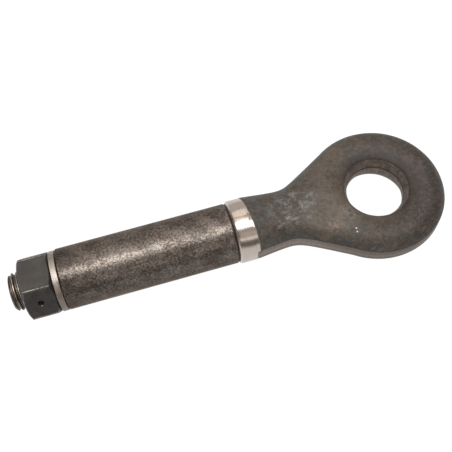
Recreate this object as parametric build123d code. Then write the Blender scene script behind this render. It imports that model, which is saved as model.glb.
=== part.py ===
from build123d import *
import os
from math import cos, radians, sin, sqrt, tan

# Swivelling tow eye for a drawbar. A forged ring stands on a turned shank, the shank turns in a sleeve
# that is welded into the drawbar, and a washer and a pinned nut hold it there.
# The origin is the centre of the ring's bore, Z is the bore's axis and the shank runs along -X.

# Forged ring
ring_diameter = 110.0
ring_thickness = 32.0
crown_diameter = 80.0          # circle on which the ring is thickest
trim_land_height = 9.4         # upright band left where the forging flash was sheared off
bore_diameter = 45.0           # pierced land that bears on the coupling pin
bore_land_height = 6.4
bore_mouth_diameter = 51.6     # crisp edges where the crowned faces roll over into the bore
bore_mouth_spacing = 22.6

# Forged neck, from the turned collar to the ring
collar_distance = 119.0        # bore centre to the collar's face
collar_diameter = 50.5
collar_length = 13.2           # turned band, up to where the forged skin starts
collar_chamfer = 1.2
neck_width = 49.0              # across the trimmed lands at the collar
neck_height = 49.4             # over the rounds at the collar
neck_taper = 0.12              # loss of half width along the neck
flare_angle = 30.9             # side of the neck to the shank's axis, where it runs into the ring
neck_hollow = 2.4              # depth of the hollow blend between the neck's taper and its flare
collar_flat = 1.0              # half width of the neck's flat at the collar, where it is nearly round
run_in_depth = 0.25            # the neck runs in this far under the ring's skin
neck_sections = 16

# Turned shank
journal_root_radius = 1.5
thread_diameter = 30.0
thread_end_chamfer = 2.0
thread_relief_depth = 2.2
thread_relief_width = 4.0
thread_stickout = 9.2          # thread that shows past the nut

# Weld-in sleeve
sleeve_length = 135.0
sleeve_diameter = 48.0
sleeve_bore = 34.0
sleeve_edge_chamfer = 0.8

# Washer
washer_diameter = 47.4
washer_bore = 31.6
washer_thickness = 5.0
washer_edge_chamfer = 0.4

# Hexagon nut, chamfered on both faces
nut_across_flats = 46.0
nut_across_corners = 51.6      # corners of the bar are rounded off to this
nut_height = 24.0
nut_chamfer_angle = 30.0
nut_face_share = 0.95          # chamfer circle over the width across flats
nut_thread_chamfer = 1.6

# Slotted spring pin through the nut and the thread
pin_diameter = 4.5
pin_wall = 0.9
pin_slot = 0.8
pin_end_chamfer = 0.4
pin_sink = 4.0                 # depth of each end below its flat
pin_angle = 150.0              # pin's axis about the shank, from +Y towards +Z

# Fits and gaps
running_clearance = 0.05       # shank in sleeve, on the radius
collar_gap = 0.9               # collar's face to the sleeve
washer_gap = 0.3               # sleeve to the washer
thread_clearance = 0.05        # thread in nut, on the radius
pin_clearance = 0.03           # pin in its hole, on the radius
root_clearance = 0.5           # sleeve's mouth over the fillet at the collar

ring_radius = ring_diameter / 2
crown_radius = crown_diameter / 2
crown_height = ring_thickness / 2
land = trim_land_height / 2
collar_radius = collar_diameter / 2
journal_radius = sleeve_bore / 2 - running_clearance
thread_radius = thread_diameter / 2
pin_hole_radius = pin_diameter / 2 + pin_clearance
washer_drop = washer_bore / 2 - thread_radius - thread_clearance

# Places along the shank, from the ring back to the thread's end
collar_face = -collar_distance
skin_start = collar_face + collar_length
sleeve_front = collar_face - collar_gap
sleeve_back = sleeve_front - sleeve_length
shoulder = sleeve_back - washer_gap
washer_back = shoulder - washer_thickness
nut_back = washer_back - nut_height
pin_place = (washer_back + nut_back) / 2
thread_end = nut_back - thread_stickout

# Plane square to the pin, with its X along the shank
pin_direction = (0, cos(radians(pin_angle)), sin(radians(pin_angle)))
pin_plane = Plane((pin_place, 0, 0), x_dir=(1, 0, 0), z_dir=pin_direction)


def turned(*points):
    """Solid of revolution about the shank's axis, from (place, radius) points."""
    return revolve(make_face(Polyline(*points, close=True)), Axis.X)


def tube(outer_radius, bore_radius, start, end, edge_chamfer, bore_chamfer):
    """Turned tube along the shank with all four of its edges broken."""
    return turned(
        (start, bore_radius + bore_chamfer),
        (start, outer_radius - edge_chamfer),
        (start + edge_chamfer, outer_radius),
        (end - edge_chamfer, outer_radius),
        (end, outer_radius - edge_chamfer),
        (end, bore_radius + bore_chamfer),
        (end - bore_chamfer, bore_radius),
        (start + bore_chamfer, bore_radius),
    )


def cross_pin(radius, length):
    """Round bar through the nut on the pin's axis."""
    return pin_plane * Cylinder(radius, length)


def neck_side(place):
    """Half width and slope of the neck's taper and its flare into the rim, with a hollow blend between."""
    angle = radians(flare_angle)
    taper = neck_width / 2 - neck_taper * (place - skin_start)
    flare = (ring_radius - run_in_depth + place * sin(angle)) / cos(angle)
    spread = sqrt((flare - taper) ** 2 + 4 * neck_hollow**2)
    lean = (flare - taper) / spread
    slope = (tan(angle) * (1 + lean) - neck_taper * (1 - lean)) / 2
    return (taper + flare + spread) / 2, slope


def neck_section(place):
    """Upright trimmed lands at the sides, rounded over into flats above and below.

    The round-over is the ring's own at the flare, and grows to the collar's round at the collar.
    """
    share = max(0.0, (place + crown_radius) / (skin_start + crown_radius))
    width, slope = neck_side(place)
    ring_level = crown_height - run_in_depth
    ring_flat = width - (ring_radius - crown_radius) * sqrt(1 + slope**2)
    level = ring_level + (neck_height / 2 - ring_level) * share**2
    flat = max(collar_flat, ring_flat + (collar_flat - ring_flat) * share**2)
    upper = [
        Line((width, -land), (width, land)),
        TangentArc((flat, level), (width, land), tangent=(1, 0)),
        Line((flat, level), (-flat, level)),
        TangentArc((-flat, level), (-width, land), tangent=(-1, 0)),
    ]
    lower = [edge.rotate(Axis.Z, 180) for edge in upper]
    return Plane.YZ.offset(place) * make_face(upper + lower)


def forged_ring():
    """Crowned ring with a trimmed land around its rim and a double-tapered bore."""
    crown = (crown_radius, crown_height)
    rim = (ring_radius, land)
    mouth = (bore_mouth_diameter / 2, bore_mouth_spacing / 2)
    pierced = (bore_diameter / 2, bore_land_height / 2)
    upper = [
        Line((ring_radius, 0), rim),
        TangentArc(crown, rim, tangent=(1, 0)),
        TangentArc(crown, mouth, tangent=(-1, 0)),
        Line(mouth, pierced),
        Line(pierced, (bore_diameter / 2, 0)),
    ]
    lower = [edge.mirror(Plane.XZ) for edge in upper]
    return revolve(Plane.XZ * make_face(upper + lower), Axis.Z)


def tow_eye():
    """The forging in one piece: ring, neck, turned collar, journal and threaded end."""
    run_in = -ring_radius * sin(radians(flare_angle))
    step = (run_in - collar_face) / (neck_sections - 1)
    neck = loft([neck_section(collar_face + step * i) for i in range(neck_sections)])
    forging = forged_ring() + (neck - Cylinder(crown_radius, collar_diameter))

    waste = turned(
        (collar_face, collar_radius - collar_chamfer),
        (collar_face, ring_radius),
        (skin_start, ring_radius),
        (skin_start, collar_radius),
        (collar_face + collar_chamfer, collar_radius),
    )
    relief_radius = thread_radius - thread_relief_depth
    relief_end = shoulder - thread_relief_width
    shank = turned(
        (skin_start, 0),
        (skin_start, journal_radius),
        (shoulder, journal_radius),
        (shoulder, relief_radius),
        (relief_end, relief_radius),
        (relief_end - thread_relief_depth, thread_radius),
        (thread_end + thread_end_chamfer, thread_radius),
        (thread_end, thread_radius - thread_end_chamfer),
        (thread_end, 0),
    )
    eye = forging - waste + shank
    root = eye.edges().filter_by(GeomType.CIRCLE).filter_by_position(Axis.X, collar_face, collar_face)
    eye = fillet(root.sort_by(SortBy.RADIUS)[0], journal_root_radius)
    return eye - cross_pin(pin_hole_radius, nut_across_flats)


def sleeve_tube():
    """Thick-walled tube that is welded into the drawbar and carries the shank."""
    mouth_chamfer = journal_root_radius + root_clearance
    return tube(
        sleeve_diameter / 2, sleeve_bore / 2, sleeve_back, sleeve_front, sleeve_edge_chamfer, mouth_chamfer
    )


def thrust_washer():
    """Thick turned washer, hanging on the thread by its loose bore."""
    washer = tube(
        washer_diameter / 2, washer_bore / 2, washer_back, shoulder, washer_edge_chamfer, washer_edge_chamfer
    )
    return Pos(0, 0, -washer_drop) * washer


def lock_nut():
    """Hexagon nut with two flats level with the ring, cross-drilled for its pin."""
    corner_radius = nut_across_corners / 2
    face_radius = nut_face_share * nut_across_flats / 2
    run = (corner_radius - face_radius) * tan(radians(nut_chamfer_angle))
    hexagon = extrude(
        Plane.YZ.offset(nut_back) * RegularPolygon(nut_across_flats / 2, 6, major_radius=False), nut_height
    )
    bore_radius = thread_radius + thread_clearance
    blank = turned(
        (nut_back, bore_radius + nut_thread_chamfer),
        (nut_back, face_radius),
        (nut_back + run, corner_radius),
        (washer_back - run, corner_radius),
        (washer_back, face_radius),
        (washer_back, bore_radius + nut_thread_chamfer),
        (washer_back - nut_thread_chamfer, bore_radius),
        (nut_back + nut_thread_chamfer, bore_radius),
    )
    return (hexagon & blank) - cross_pin(pin_hole_radius, 2 * corner_radius)


def spring_pin():
    """Rolled pin with one slot along it, sunk below the flats at both ends."""
    length = nut_across_flats - 2 * pin_sink
    bar = cross_pin(pin_diameter / 2, length)
    bar = chamfer(bar.edges().filter_by(GeomType.CIRCLE), pin_end_chamfer)
    bore = cross_pin(pin_diameter / 2 - pin_wall, length)
    slot = pin_plane * Pos(pin_diameter / 2, 0, 0) * Box(pin_diameter, pin_slot, length)
    return bar - bore - slot


nodes = {
    "tow_eye": tow_eye(),
    "sleeve_tube": sleeve_tube(),
    "thrust_washer": thrust_washer(),
    "lock_nut": lock_nut(),
    "spring_pin": spring_pin(),
}

os.makedirs("parts", exist_ok=True)
for name, solid in nodes.items():
    export_step(solid, f"parts/{name}.step")
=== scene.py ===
from math import cos, pi, radians, sin, tau

import bmesh
import bpy
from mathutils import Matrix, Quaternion, Vector


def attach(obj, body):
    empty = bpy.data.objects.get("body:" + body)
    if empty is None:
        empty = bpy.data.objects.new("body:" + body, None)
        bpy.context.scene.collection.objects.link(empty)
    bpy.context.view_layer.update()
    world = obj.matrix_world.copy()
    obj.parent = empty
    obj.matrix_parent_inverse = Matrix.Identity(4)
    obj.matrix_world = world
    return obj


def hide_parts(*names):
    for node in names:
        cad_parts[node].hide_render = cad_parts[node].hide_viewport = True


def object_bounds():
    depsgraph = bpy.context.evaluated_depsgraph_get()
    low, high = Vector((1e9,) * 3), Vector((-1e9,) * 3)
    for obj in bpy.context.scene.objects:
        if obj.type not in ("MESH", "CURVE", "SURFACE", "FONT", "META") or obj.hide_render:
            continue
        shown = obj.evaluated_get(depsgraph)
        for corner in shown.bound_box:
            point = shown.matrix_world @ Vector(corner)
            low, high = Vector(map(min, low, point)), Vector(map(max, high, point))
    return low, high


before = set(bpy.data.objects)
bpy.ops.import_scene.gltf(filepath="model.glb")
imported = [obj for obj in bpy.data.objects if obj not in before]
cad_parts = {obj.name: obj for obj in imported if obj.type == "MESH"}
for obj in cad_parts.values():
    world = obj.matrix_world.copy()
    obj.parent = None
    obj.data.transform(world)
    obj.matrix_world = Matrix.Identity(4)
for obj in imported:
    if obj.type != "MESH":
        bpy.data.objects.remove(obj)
cad_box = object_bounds()

# Tow eye
# One drop forging in steel with its ring, neck and shank. Its flash was sheared off around the rim, which
# left the upright land there. Furnace scale covers it, but the collar and the shank were turned bright.


class Field:
    """One value of a finish or of a shape, as it varies from place to place: an output of a node tree.

    Sums, products and powers of it add Math nodes to the tree.
    """

    def __init__(self, tree, socket=None):
        self.tree = tree
        self.socket = socket

    def node(self, kind, sockets, output=0, **settings):
        """An output of a new node. Its settings are made first, and its sockets are then set or linked."""
        made = self.tree.nodes.new(kind)
        for name, value in settings.items():
            setattr(made, name, value)
        for name, value in sockets.items():
            if isinstance(value, Field):
                self.tree.links.new(value.socket, made.inputs[name])
            else:
                made.inputs[name].default_value = value
        return Field(self.tree, made.outputs[output] if made.outputs else None)

    def math(self, operation, *values):
        return self.node("ShaderNodeMath", dict(enumerate(values)), operation=operation)

    def __add__(self, other):
        return self.math("ADD", self, other)

    def __radd__(self, other):
        return self.math("ADD", other, self)

    def __sub__(self, other):
        return self.math("SUBTRACT", self, other)

    def __rsub__(self, other):
        return self.math("SUBTRACT", other, self)

    def __mul__(self, other):
        return self.math("MULTIPLY", self, other)

    def __rmul__(self, other):
        return self.math("MULTIPLY", other, self)

    def __truediv__(self, other):
        return self.math("DIVIDE", self, other)

    def __pow__(self, other):
        return self.math("POWER", self, other)

    def step(self, low, high):
        """0 below low, 1 above high and smooth between them."""
        limits = {"Value": self, "From Min": low, "From Max": high}
        return self.node("ShaderNodeMapRange", limits, interpolation_type="SMOOTHSTEP")

    def parts(self):
        """The three numbers of a place."""
        return [self.node("ShaderNodeSeparateXYZ", {"Vector": self}, output=i) for i in range(3)]

    def stretch(self, along_x, along_y, along_z):
        """These coordinates, drawn out by a factor along each axis."""
        factors = (1 / along_x, 1 / along_y, 1 / along_z)
        return self.node("ShaderNodeVectorMath", {0: self, 1: factors}, operation="MULTIPLY")

    def cloud(self, size, detail=4.0, roughness=0.55):
        """Cloudy variation around a half, in features of that size."""
        sockets = {"Vector": self, "Scale": 1 / size, "Detail": detail, "Roughness": roughness}
        return self.node("ShaderNodeTexNoise", sockets)

    def wander(self, size, reach):
        """These coordinates, drawn aside by about that reach, so that outlines wander."""
        sockets = {"Vector": self, "Scale": 1 / size, "Detail": 3.0}
        drift = self.node("ShaderNodeTexNoise", sockets, output="Color")
        aside = self.node("ShaderNodeVectorMath", {0: drift, 1: (0.5, 0.5, 0.5)}, operation="SUBTRACT")
        reaches = (2 * reach, 2 * reach, 2 * reach)
        return self.node("ShaderNodeVectorMath", {0: aside, 1: reaches, 2: self}, operation="MULTIPLY_ADD")

    def spot(self, centre, reach):
        """1 around one spot of the piece, fading to 0 at that reach from it."""
        gap = self.node("ShaderNodeVectorMath", {0: self, 1: centre}, output="Value", operation="DISTANCE")
        return 1 - gap.step(0.3 * reach, reach)

    def colour(self, low, high):
        """From one colour where this is 0 to another where it is 1."""
        return self.node("ShaderNodeMix", {0: self, 6: low, 7: high}, output=2, data_type="RGBA")


def rgb(red, green, blue):
    return (red, green, blue, 1.0)


def finish(name):
    """A new material, still bare, and the piece's own coordinates in millimetres."""
    material = bpy.data.materials.new(name)
    material.use_nodes = True
    material.node_tree.nodes.clear()
    tree = Field(material.node_tree)
    metres = tree.node("ShaderNodeTexCoord", {}, output="Object")
    place = tree.node("ShaderNodeVectorMath", {0: metres, "Scale": 1000.0}, operation="SCALE")
    return material, place


def surface(place, relief, depth, **values):
    """Closes a finish: its shader, over a relief of that depth in millimetres."""
    normal = place.node("ShaderNodeBump", {"Height": relief, "Distance": depth / 1000})
    sockets = {name.replace("_", " "): value for name, value in values.items()}
    shader = place.node("ShaderNodeBsdfPrincipled", {**sockets, "Normal": normal})
    place.node("ShaderNodeOutputMaterial", {"Surface": shader})


def piece(name, mesh, body, node=None, sharp=30.0):
    """A finished piece on its body, smooth but for its edges, in place of a CAD node where it has one."""
    mesh.shade_smooth()
    mesh.set_sharp_from_angle(angle=radians(sharp))
    made = bpy.data.objects.new(name, mesh)
    bpy.context.scene.collection.objects.link(made)
    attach(made, body)
    if node:
        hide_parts(node)
    return made


forged_scale, place = finish("forged_scale")
x, y, z = place.parts()
around_shank = place.math("ARCTAN2", z, y)
from_bore = (x**2 + y**2) ** 0.5
off_middle = place.math("ABSOLUTE", z)

# Furnace scale: brown to blue-grey in broad patches, tan in the fork of the neck, blue-grey at the collar,
# and purple with dark streaks around the ring's end.
brown = rgb(0.046, 0.0332, 0.0258)
blue_grey = rgb(0.040, 0.0385, 0.034)
tan = rgb(0.098, 0.078, 0.060)
dark = rgb(0.016, 0.0125, 0.0102)
ragged = place.wander(7, 5.0)
far_end = x.step(-25, 38)
streaks = place.stretch(1, 4.5, 2).cloud(5, 4, 0.6).step(0.50, 0.62)
skin = place.cloud(20, 4, 0.6).step(0.47, 0.58).colour(brown, blue_grey)
fork_tan = rgb(0.105, 0.089, 0.071)
skin = (0.68 * ragged.spot((-44, -10, 16), 28)).colour(skin, fork_tan)
skin = (0.35 * ragged.spot((-32, -19, 15), 16)).colour(skin, rgb(0.130, 0.110, 0.089))
skin = (0.3 * ragged.spot((-42, 23, 15), 15)).colour(skin, fork_tan)
skin = (0.45 * ragged.spot((-25, 36, 15), 17)).colour(skin, rgb(0.092, 0.075, 0.054))
skin = (0.85 * ragged.spot((-98, 2, 22), 19)).colour(skin, rgb(0.035, 0.0365, 0.0345))
skin = (0.5 * ragged.spot((-83, -17, 15), 11)).colour(skin, dark)
skin = (0.65 * far_end).colour(skin, rgb(0.033, 0.0228, 0.0202))
skin = (0.75 * far_end * streaks).colour(skin, rgb(0.021, 0.0212, 0.0195))
skin = (0.6 * ragged.spot((24, -36, 14), 32)).colour(skin, rgb(0.022, 0.0155, 0.0135))

# Mottled light and dark over it, and finely grained.
mottle = place.cloud(6, 5, 0.7)
flecks = place.wander(3, 1.5).cloud(2.6, 4, 0.65)
grain = place.cloud(1.1, 3, 0.6)
light_flecks = flecks.step(0.42, 0.58)
skin = (0.4 * mottle.step(0.48, 0.66)).colour(skin, tan)
skin = (0.4 * (1 - mottle.step(0.34, 0.52))).colour(skin, dark)
skin = ((0.4 - 0.2 * far_end) * flecks.step(0.50, 0.63)).colour(skin, tan)
skin = (0.42 * (1 - flecks.step(0.36, 0.49))).colour(skin, dark)
skin = ((0.42 - 0.16 * far_end) * grain.step(0.48, 0.64)).colour(skin, tan)

# Cold blue along the shoulders of the neck, chalky scuffs on its top, and two bright nicks in the ring.
shoulder = off_middle.step(5, 7) * (1 - off_middle.step(11, 14)) * (1 - x.step(-25, 5)) * x.step(-90, -75)
blue = place.stretch(3, 1, 1).cloud(6, 5, 0.65)
skin = (0.65 * shoulder * blue.step(0.42, 0.57)).colour(skin, rgb(0.029, 0.032, 0.031))
skin = (0.6 * shoulder * blue.step(0.56, 0.68)).colour(skin, rgb(0.105, 0.112, 0.107))
skin = (0.5 * ragged.spot((-44, -24, 15), 8) * light_flecks).colour(skin, rgb(0.18, 0.135, 0.11))
skin = (0.5 * ragged.spot((-29, -17, 15), 11) * light_flecks).colour(skin, rgb(0.14, 0.143, 0.135))
scuffed = 1 - (((x + 69) / 27) ** 2 + ((y + 1) / 19) ** 2).step(0.1, 1.0)
scuffs = 0.8 * ragged.cloud(5, 6, 0.75).step(0.46, 0.66) * scuffed
chalk_marks = [
    (-66, 10, 17), (-52, 5, 16), (-60, -1, 17), (-74, 1, 18),
    (-76, -10, 18), (-84, -12, 18), (-71, -12, 17),
]
smeared = place.wander(3, 3.0)
for mark in chalk_marks:
    scuffs = scuffs + 0.6 * smeared.spot(mark, 4.5) * light_flecks
skin = (0.35 * scuffed).colour(skin, blue_grey)
skin = (0.75 * scuffs).colour(skin, rgb(0.185, 0.187, 0.172))
nicks = place.spot((-29.2, -31.5, 15.7), 0.9) + place.spot((-29.4, -34.2, 15.1), 0.8)
skin = nicks.colour(skin, rgb(0.55, 0.50, 0.45))

# Pierced bore: brown walls, a bright sheared land with a torn edge, and painted shade on the mouths away
# from the neck, painted light towards it.
mouth_radius = 25.8
mouth_height = 11.3
pierced_height = 3.2
shear_marks = place.stretch(1, 1, 9).cloud(1.6, 3, 0.6)
inside_mouth = 1 - from_bore.step(mouth_radius - 0.3, mouth_radius + 0.1)
bore_wall = inside_mouth * (1 - off_middle.step(mouth_height - 0.3, mouth_height + 0.1))
pierced = bore_wall * (1 - off_middle.step(pierced_height - 0.2, pierced_height + 0.2))
wall = mottle.step(0.38, 0.62).colour(rgb(0.062, 0.044, 0.036), rgb(0.140, 0.106, 0.088))
skin = (0.7 * bore_wall).colour(skin, wall)
torn = bore_wall * (1 - place.math("ABSOLUTE", off_middle - pierced_height - 0.8).step(0.3, 1.0))
skin = (0.7 * torn).colour(skin, dark)
skin = (0.65 * pierced * shear_marks.step(0.32, 0.66)).colour(skin, rgb(0.215, 0.167, 0.134))
# Painted shade on the mouths' rolled-over lips away from the neck, and painted light on them towards it.
rolled_over = (1 - from_bore.step(26, 36)) * off_middle.step(mouth_height - 0.3, mouth_height + 0.3)
away_from_neck = (0.87 * x + 0.5 * y).step(-26, 6)
skin = (0.55 * away_from_neck * rolled_over).colour(skin, rgb(0.025, 0.0165, 0.0148))
skin = (0.4 * (1 - away_from_neck) * rolled_over).colour(skin, tan)

# Trimmed land around the rim: marked along the shear, with the parting line of the dies along its middle.
rim = from_bore.step(38, 42)
land = (1 - (off_middle + 2 * (mottle - 0.5)).step(5.2, 6.4)) * rim
sheared = shear_marks.step(0.30, 0.70).colour(rgb(0.140, 0.113, 0.094), rgb(0.178, 0.147, 0.124))
parting = 1 - place.math("ABSOLUTE", z + 2 * (mottle - 0.5)).step(0.6, 2.4)
sheared = (0.6 * parting).colour(sheared, rgb(0.250, 0.207, 0.175))
# Painted shade: the sheared colour is laid on less towards the ring's end, where the land turns from the
# light.
skin = ((0.95 - 0.36 * x.step(-65, -25)) * land).colour(skin, sheared)
# A dark line along the crease above the land: painted shade.
crease_shadow_line = (1 - place.math("ABSOLUTE", off_middle - 6.6).step(0.2, 0.9)) * rim
skin = (0.35 * crease_shadow_line).colour(skin, dark)

# Turned collar: the skin ends along a wandering line, further back on the lands. A stain and a spot of rust
# lie on its top, and its chamfer was filed.
skin_start = -105.9
skin_wander = 2.9
land_setback = 2.2
sway = place.math("COSINE", around_shank - radians(160))
skin_edge = skin_start + skin_wander * sway - land_setback * land
turned = 1 - (x - skin_edge + 0.9 * (mottle - 0.5)).step(-0.25, 0.25)
tool_marks = place.stretch(0.12, 14, 14).cloud(1.0, 3)
steel = tool_marks.step(0.35, 0.65).colour(rgb(0.40, 0.35, 0.31), rgb(0.48, 0.425, 0.38))
stain = (1 - place.math("ABSOLUTE", y + 1.2 + 3 * (mottle - 0.5)).step(0.2, 1.3)) * z.step(20, 22)
rust = place.stretch(2, 1, 1).wander(2, 0.7).spot((-54.2, -1.5, 25.1), 1.6)
filed = 1 - x.step(-118.3, -117.7)
steel = (0.3 * filed).colour(steel, rgb(0.86, 0.77, 0.69))
steel = (0.55 * stain).colour(steel, rgb(0.20, 0.165, 0.14))
steel = (0.85 * rust).colour(steel, rgb(0.26, 0.14, 0.08))

surface(
    place,
    turned * 0.007 * tool_marks + (1 - turned) * (0.35 * grain + 0.35 * flecks + 0.3 * mottle),
    depth=0.35,
    Base_Color=turned.colour(skin, steel),
    Metallic=turned * (1 - rust),
    Roughness=turned * (0.225 + 0.3 * rust + 0.15 * filed) + (1 - turned) * (0.46 + 0.20 * mottle),
    Specular_IOR_Level=0.3,
)

thread_start = -0.280
collar_end = -0.1058
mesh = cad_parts["tow_eye"].data.copy()
shape = bmesh.new()
shape.from_mesh(mesh)
bmesh.ops.remove_doubles(shape, verts=shape.verts, dist=1e-6)
everything = shape.verts[:] + shape.edges[:] + shape.faces[:]
cut = bmesh.ops.bisect_plane(
    shape, geom=everything, plane_co=(thread_start, 0, 0), plane_no=(1, 0, 0), clear_inner=True
)
rim_edges = [part for part in cut["geom_cut"] if isinstance(part, bmesh.types.BMEdge)]
bmesh.ops.edgeloop_fill(shape, edges=rim_edges)
shape.to_mesh(mesh)
shape.free()
mesh.materials.clear()
mesh.materials.append(forged_scale)
piece("forged_eye", mesh, "eye", node="tow_eye")
for edge in mesh.edges:
    ends = [mesh.vertices[number].co.x for number in edge.vertices]
    if max(abs(end - collar_end) for end in ends) < 1e-5:
        edge.use_edge_sharp = True

# Thread
# The shank's end is screw-cut with a coarse metric thread, right-handed and chamfered at both of its ends.
# The solid is plain there, so the helix is made here by its rule and stands on the cut end of the shank.
thread_rule = bpy.data.node_groups.new("helical_thread", "GeometryNodeTree")
sizes = {"Major Radius": 0.015, "Pitch": 0.0035, "Start": thread_start, "End": -0.2934, "Chamfer": 0.002}
for name in sizes:
    thread_rule.interface.new_socket(name, in_out="INPUT", socket_type="NodeSocketFloat")
thread_rule.interface.new_socket("Finish", in_out="INPUT", socket_type="NodeSocketMaterial")
thread_rule.interface.new_socket("Geometry", in_out="OUTPUT", socket_type="NodeSocketGeometry")

rule = Field(thread_rule)
given = thread_rule.nodes.new("NodeGroupInput")
major, pitch, start, end, chamfer, thread_finish = [Field(thread_rule, given.outputs[i]) for i in range(6)]
steps_a_turn = 96
profile_steps = 16
turns = (start - end) / pitch + 1
counts = {"Vertices X": rule.math("CEIL", turns * steps_a_turn) + 1, "Vertices Y": profile_steps + 1}
grid = rule.node("GeometryNodeMeshGrid", {"Size X": 1.0, "Size Y": 1.0, **counts})
number = rule.node("GeometryNodeInputIndex", {})
row_length = float(profile_steps + 1)
step_round = rule.math("FLOOR", (number + 0.5) / row_length)
step_across = number - step_round * row_length
angle = step_round * (tau / steps_a_turn)
across = step_across / profile_steps

# Across one pitch: a crest flat of 2/16, a flank of 5/16, a root flat of 4/16 and the other flank.
flank = pitch * (5 / 16)
depth = flank * (3**0.5)
rise = rule.node("ShaderNodeClamp", {"Value": (rule.math("ABSOLUTE", across - 9 / 16) - 2 / 16) * (16 / 5)})
along = start + pitch - pitch * (angle / tau + across)
along = rule.math("MINIMUM", rule.math("MAXIMUM", along, end), start)
radius = major - depth + depth * rise
radius = rule.math("MINIMUM", radius, major - chamfer + (along - end))
radius = rule.math("MINIMUM", radius, major - chamfer + (start - along))
spot = rule.node(
    "ShaderNodeCombineXYZ",
    {
        "X": along,
        "Y": radius * rule.math("COSINE", angle),
        "Z": radius * rule.math("SINE", -1 * angle),
    },
)
helix = rule.node("GeometryNodeSetPosition", {"Geometry": grid, "Position": spot})
disc = rule.node(
    "GeometryNodeMeshCircle", {"Vertices": steps_a_turn, "Radius": major - chamfer}, fill_type="NGON"
)
joined = rule.node("GeometryNodeJoinGeometry", {"Geometry": helix})
for face, facing in ((start, pi / 2), (end, -pi / 2)):
    middle = rule.node("ShaderNodeCombineXYZ", {"X": face})
    cap = rule.node(
        "GeometryNodeTransform", {"Geometry": disc, "Translation": middle, "Rotation": (0, facing, 0)}
    )
    thread_rule.links.new(cap.socket, joined.socket.node.inputs["Geometry"])
merged = rule.node("GeometryNodeMergeByDistance", {"Geometry": joined, "Distance": 1e-6})
real = rule.node("GeometryNodeRealizeInstances", {"Geometry": merged})
coated = rule.node("GeometryNodeSetMaterial", {"Geometry": real, "Material": thread_finish})
rule.node("NodeGroupOutput", {"Geometry": coated})

cut_steel, place = finish("cut_thread")
y, z = place.parts()[1:]
from_axis = (y**2 + z**2) ** 0.5
crest = from_axis.step(13.4, 14.9)
stain = place.cloud(3, 4)
surface(
    place,
    place.cloud(0.8, 3),
    depth=0.08,
    Base_Color=(crest * stain.step(0.25, 0.6)).colour(rgb(0.11, 0.088, 0.070), rgb(0.39, 0.352, 0.318)),
    Metallic=1.0,
    Roughness=0.48 - 0.12 * crest,
)

blank = bpy.data.meshes.new("thread_blank")
maker = bpy.data.objects.new("thread_maker", blank)
bpy.context.scene.collection.objects.link(maker)
modifier = maker.modifiers.new("thread", "NODES")
modifier.node_group = thread_rule
for item in thread_rule.interface.items_tree:
    if item.in_out == "INPUT":
        modifier[item.identifier] = sizes.get(item.name, cut_steel)
seen = maker.evaluated_get(bpy.context.evaluated_depsgraph_get())
mesh = bpy.data.meshes.new_from_object(seen)
bpy.data.objects.remove(maker)
piece("thread", mesh, "eye", sharp=25.0)

# Sleeve tube
# Thick hot-rolled tube, sawn to length and broken at its edges, which is welded into the drawbar.
# Its outside keeps its mill scale: brown-grey, finely mottled, a little glossy and darker at the nut's end.
mill_scale, place = finish("mill_scale")
x, y, z = place.parts()
from_axis = (y**2 + z**2) ** 0.5
clusters = place.cloud(13, 4, 0.6)
flakes = place.cloud(1.6, 3, 0.6)
pits = place.cloud(0.6, 2)
bright = (flakes + 0.5 * (clusters - 0.5)).step(0.31, 0.70)
scale = bright.colour(rgb(0.054, 0.0415, 0.0345), rgb(0.186, 0.162, 0.143))
blotches = place.wander(5, 3).cloud(10, 3, 0.5).step(0.52, 0.62)
scale = (0.4 * blotches).colour(scale, rgb(0.050, 0.046, 0.0415))
# Painted shade darkens the far half, and the scale is also darker towards the nut's end.
far_shade_and_end_darkening = 0.14 * y.step(-8, 4) + 0.36 * (1 - x.step(-254, -226))
scale = far_shade_and_end_darkening.colour(scale, rgb(0.024, 0.0175, 0.0145))
# Painted shade along the near side, low down.
near_side_shade = 1 - y.step(-23.5, -20)
scale = (0.3 * near_side_shade).colour(scale, rgb(0.060, 0.046, 0.035))
sawn = 1 - from_axis.step(23.05, 23.35)
surface(
    place,
    0.7 * flakes + 0.3 * pits,
    depth=0.24,
    Base_Color=sawn.colour(scale, rgb(0.30, 0.26, 0.23)),
    Metallic=0.75,
    Roughness=0.34 - 0.07 * bright,
    Specular_Tint=rgb(0.45, 0.41, 0.38),
)


def tube_corners(back, front, radius, bore, edge, mouth):
    """Section of a tube whose outer edges are broken by edge, and those of its bore by mouth."""
    return [
        (back, bore + mouth),
        (back, radius - edge),
        (back + edge, radius),
        (front - edge, radius),
        (front, radius - edge),
        (front, bore + mouth),
        (front - mouth, bore),
        (back + mouth, bore),
    ]


def turned_mesh(name, corners, finish_of_piece, drop=0.0):
    """A ring turned about the shank's axis, from corners given as (place, radius) in millimetres."""
    shape = bmesh.new()
    points = [shape.verts.new((place / 1000, radius / 1000, 0)) for place, radius in corners]
    edges = [shape.edges.new((points[i - 1], points[i])) for i in range(len(points))]
    bmesh.ops.spin(
        shape, geom=points + edges, cent=(0, 0, 0), axis=(1, 0, 0), angle=tau, steps=180, use_merge=True
    )
    bmesh.ops.remove_doubles(shape, verts=shape.verts, dist=1e-7)
    bmesh.ops.recalc_face_normals(shape, faces=shape.faces)
    bmesh.ops.translate(shape, verts=shape.verts, vec=(0, 0, -drop / 1000))
    mesh = bpy.data.meshes.new(name)
    shape.to_mesh(mesh)
    shape.free()
    mesh.materials.append(finish_of_piece)
    return mesh


def break_edges(made, width):
    """Rounds a piece's sharp edges, as a file or a tumbler does."""
    rounding = made.modifiers.new("broken_edges", "BEVEL")
    rounding.limit_method = "ANGLE"
    rounding.angle_limit = radians(25)
    rounding.width = width / 1000
    rounding.segments = 2
    rounding.harden_normals = True


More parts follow.
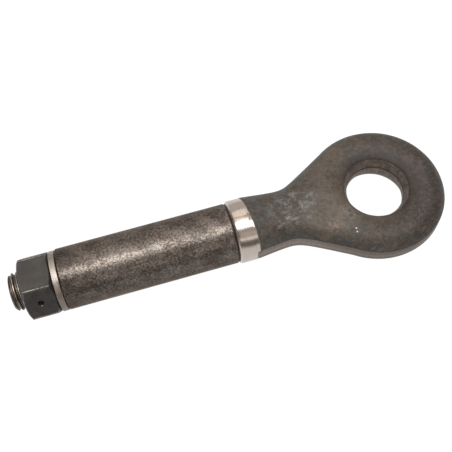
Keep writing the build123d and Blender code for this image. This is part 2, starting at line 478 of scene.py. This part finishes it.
sleeve_front = -119.9
corners = tube_corners(back=-254.9, front=sleeve_front, radius=24.0, bore=17.0, edge=0.8, mouth=2.0)
mesh = turned_mesh("sleeve", corners, mill_scale)
sleeve = piece("sleeve", mesh, "sleeve", node="sleeve_tube")
break_edges(sleeve, 0.3)

# Gap shade
# A near-black ring, put in as painted shade, packs the gap between sleeve and collar.
# It turns with the eye and lets no light through there.
gap_shade, place = finish("near_black_gap_shade")
lumps = place.cloud(1.5, 3)
surface(
    place,
    lumps,
    depth=0.3,
    Base_Color=lumps.step(0.35, 0.65).colour(rgb(0.008, 0.006, 0.005), rgb(0.022, 0.016, 0.012)),
    Roughness=0.55 - 0.2 * lumps,
)
gap_shade_back = sleeve_front + 0.1
gap_shade_front = sleeve_front + 0.8
corners = [(gap_shade_back, 19.0), (gap_shade_back, 23.2), (gap_shade_front, 23.6), (gap_shade_front, 19.0)]
piece("gap_shade", turned_mesh("gap_shade", corners, gap_shade), "eye")

# Thrust washer
# Thick washer turned from bright bar, with patches of grime and painted shade darkening its near side low
# down.
# Its bore is loose on the thread, so it hangs a little below the shank's axis.
bright_bar, place = finish("bright_bar")
y = place.parts()[1]
brushing = place.stretch(0.15, 12, 12).cloud(1.0, 3)
stain = place.cloud(5, 4)
steel = brushing.step(0.2, 0.8).colour(rgb(0.25, 0.222, 0.197), rgb(0.36, 0.325, 0.292))
# Grime in patches, and painted shade towards the near side, low down.
grime_and_near_shade = 0.5 * stain.step(0.52, 0.68) + 0.45 * (1 - y.step(-22, -8)) + 0.35 * (1 - y.step(-23.5, -19))
surface(
    place,
    brushing,
    depth=0.05,
    Base_Color=grime_and_near_shade.colour(steel, rgb(0.16, 0.13, 0.108)),
    Metallic=1.0,
    Roughness=0.37 + 0.12 * stain,
)
corners = tube_corners(back=-260.2, front=-255.2, radius=23.7, bore=15.8, edge=0.4, mouth=0.4)
mesh = turned_mesh("washer", corners, bright_bar, drop=0.75)
washer = piece("washer", mesh, "eye", node="thrust_washer")
break_edges(washer, 0.25)

# Lock nut
# Hexagon nut, machined from bar and chamfered on both faces, then blackened in hot oxide.
# It is drilled across for its pin. A thin bright line on its corners is partly rubbed by handling and
# partly a painted highlight.
black_oxide, place = finish("black_oxide")
y, z = place.parts()[1:]
from_axis = (y**2 + z**2) ** 0.5
around_nut = place.math("ARCTAN2", z, y)
smudge = place.cloud(8, 5, 0.6)
grain = place.cloud(0.6, 2)
black = smudge.step(0.35, 0.70).colour(rgb(0.0072, 0.0054, 0.0040), rgb(0.0215, 0.0174, 0.0136))
# Corners rubbed bright by handling, narrowed to a thin line as a painted highlight.
corner = place.math("COSINE", 6 * around_nut).step(0.9935, 0.9985) * from_axis.step(24.6, 25.4)
rubbed_corner_highlight = corner * place.cloud(4, 3).step(0.36, 0.60)
# A bright speck at the lower rim of the pin hole: a painted highlight.
pin_hole_highlight = place.spot((-272.2, -21.2, 9.3), 0.7)
surface(
    place,
    grain,
    depth=0.04,
    Base_Color=(rubbed_corner_highlight + pin_hole_highlight).colour(black, rgb(0.30, 0.275, 0.25)),
    Metallic=0.4 * rubbed_corner_highlight,
    Roughness=0.38 + 0.12 * smudge,
    Specular_IOR_Level=0.5,
)
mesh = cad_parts["lock_nut"].data.copy()
shape = bmesh.new()
shape.from_mesh(mesh)
bmesh.ops.remove_doubles(shape, verts=shape.verts, dist=1e-6)
bmesh.ops.dissolve_limit(shape, angle_limit=radians(1), verts=shape.verts, edges=shape.edges)
shape.to_mesh(mesh)
shape.free()
mesh.materials.clear()
mesh.materials.append(black_oxide)
piece("nut", mesh, "eye", node="lock_nut", sharp=20.0)

# Spring pin
# Pin rolled from spring strip and slotted along its length, so that it grips its hole.
# It is driven below the nut's flats and locks the nut on the thread.
spring_strip, place = finish("spring_strip")
surface(
    place,
    place.cloud(0.5, 2),
    depth=0.03,
    Base_Color=place.cloud(1.5, 3).colour(rgb(0.20, 0.18, 0.16), rgb(0.42, 0.40, 0.37)),
    Metallic=1.0,
    Roughness=0.35,
)
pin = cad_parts["spring_pin"]
pin.data.materials.clear()
pin.data.materials.append(spring_strip)

# Studio
# A pale floor below the ring's swing is lit from within, less so far in front. A softbox hangs overhead,
# a weaker one and a pale wall stand behind, a strip and a pale wall in front, and the room is dim.
floor_finish, place = finish("pale_floor")
fade_start = -480
fade_end = -1570
glow = place.parts()[1].step(fade_end, fade_start).colour(rgb(0.32, 0.32, 0.32), rgb(1.0, 1.0, 1.0))
shader = place.node(
    "ShaderNodeBsdfPrincipled",
    {
        "Base Color": rgb(0.08, 0.08, 0.08),
        "Roughness": 0.9,
        "Specular IOR Level": 0.0,
        "Emission Color": glow,
        "Emission Strength": 0.98,
    },
)
place.node("ShaderNodeOutputMaterial", {"Surface": shader})
mesh = bpy.data.meshes.new("floor")
reach = 3.0
ring_reach = cad_box[1][1]
clear_of_ring = 0.0015
floor_height = -ring_reach - clear_of_ring
corners = [(-reach, -reach), (reach, -reach), (reach, reach), (-reach, reach)]
mesh.from_pydata([(side, deep, floor_height) for side, deep in corners], [], [(0, 1, 2, 3)])
mesh.materials.append(floor_finish)
floor = bpy.data.objects.new("floor", mesh)
bpy.context.scene.collection.objects.link(floor)

object_middle = Vector((-0.12, 0, 0))


def softbox(name, tilt, distance, width, height, radiance, tint=(1.0, 0.94, 0.89)):
    """A rectangular light that faces the object, tilted about the shank's axis from behind over the top."""
    lamp = bpy.data.lights.new(name, "AREA")
    lamp.color = tint
    lamp.shape = "RECTANGLE"
    lamp.size = width
    lamp.size_y = height
    lamp.energy = radiance * pi * width * height
    holder = bpy.data.objects.new(name, lamp)
    holder.location = object_middle + distance * Vector((0, cos(radians(tilt)), sin(radians(tilt))))
    holder.rotation_euler = (object_middle - holder.location).to_track_quat("-Z", "Y").to_euler()
    holder.visible_camera = False
    bpy.context.scene.collection.objects.link(holder)


white = (1.0, 0.995, 0.98)
softbox("softbox_overhead", tilt=96, distance=1.2, width=1.8, height=0.50, radiance=6.8, tint=white)
softbox("softbox_behind", tilt=61, distance=1.4, width=1.8, height=1.19, radiance=1.45)
softbox("wall_behind", tilt=18, distance=1.8, width=2.4, height=1.10, radiance=0.65)
softbox("strip_in_front", tilt=151, distance=1.3, width=1.8, height=0.23, radiance=1.7)
softbox("wall_in_front", tilt=132, distance=1.5, width=1.8, height=0.53, radiance=0.6)

room = bpy.data.worlds.new("dim_room")
room.use_nodes = True
room.node_tree.nodes["Background"].inputs["Color"].default_value = rgb(0.165, 0.149, 0.136)
bpy.context.scene.world = room
bpy.context.scene.view_settings.view_transform = "Standard"

camera_place = Vector((-0.186676, -0.260050, 0.532105))
camera_aim = Vector((-0.121917, 0.007284, 0.0))
camera_roll = -3.07
lens = bpy.data.cameras.new("camera")
lens.sensor_width = 36.0
lens.lens = 60.33
camera = bpy.data.objects.new("camera", lens)
camera.location = camera_place
camera.rotation_mode = "QUATERNION"
level = (camera_aim - camera_place).to_track_quat("-Z", "Y")
camera.rotation_quaternion = level @ Quaternion((0, 0, 1), radians(camera_roll))
bpy.context.scene.collection.objects.link(camera)
bpy.context.scene.camera = camera
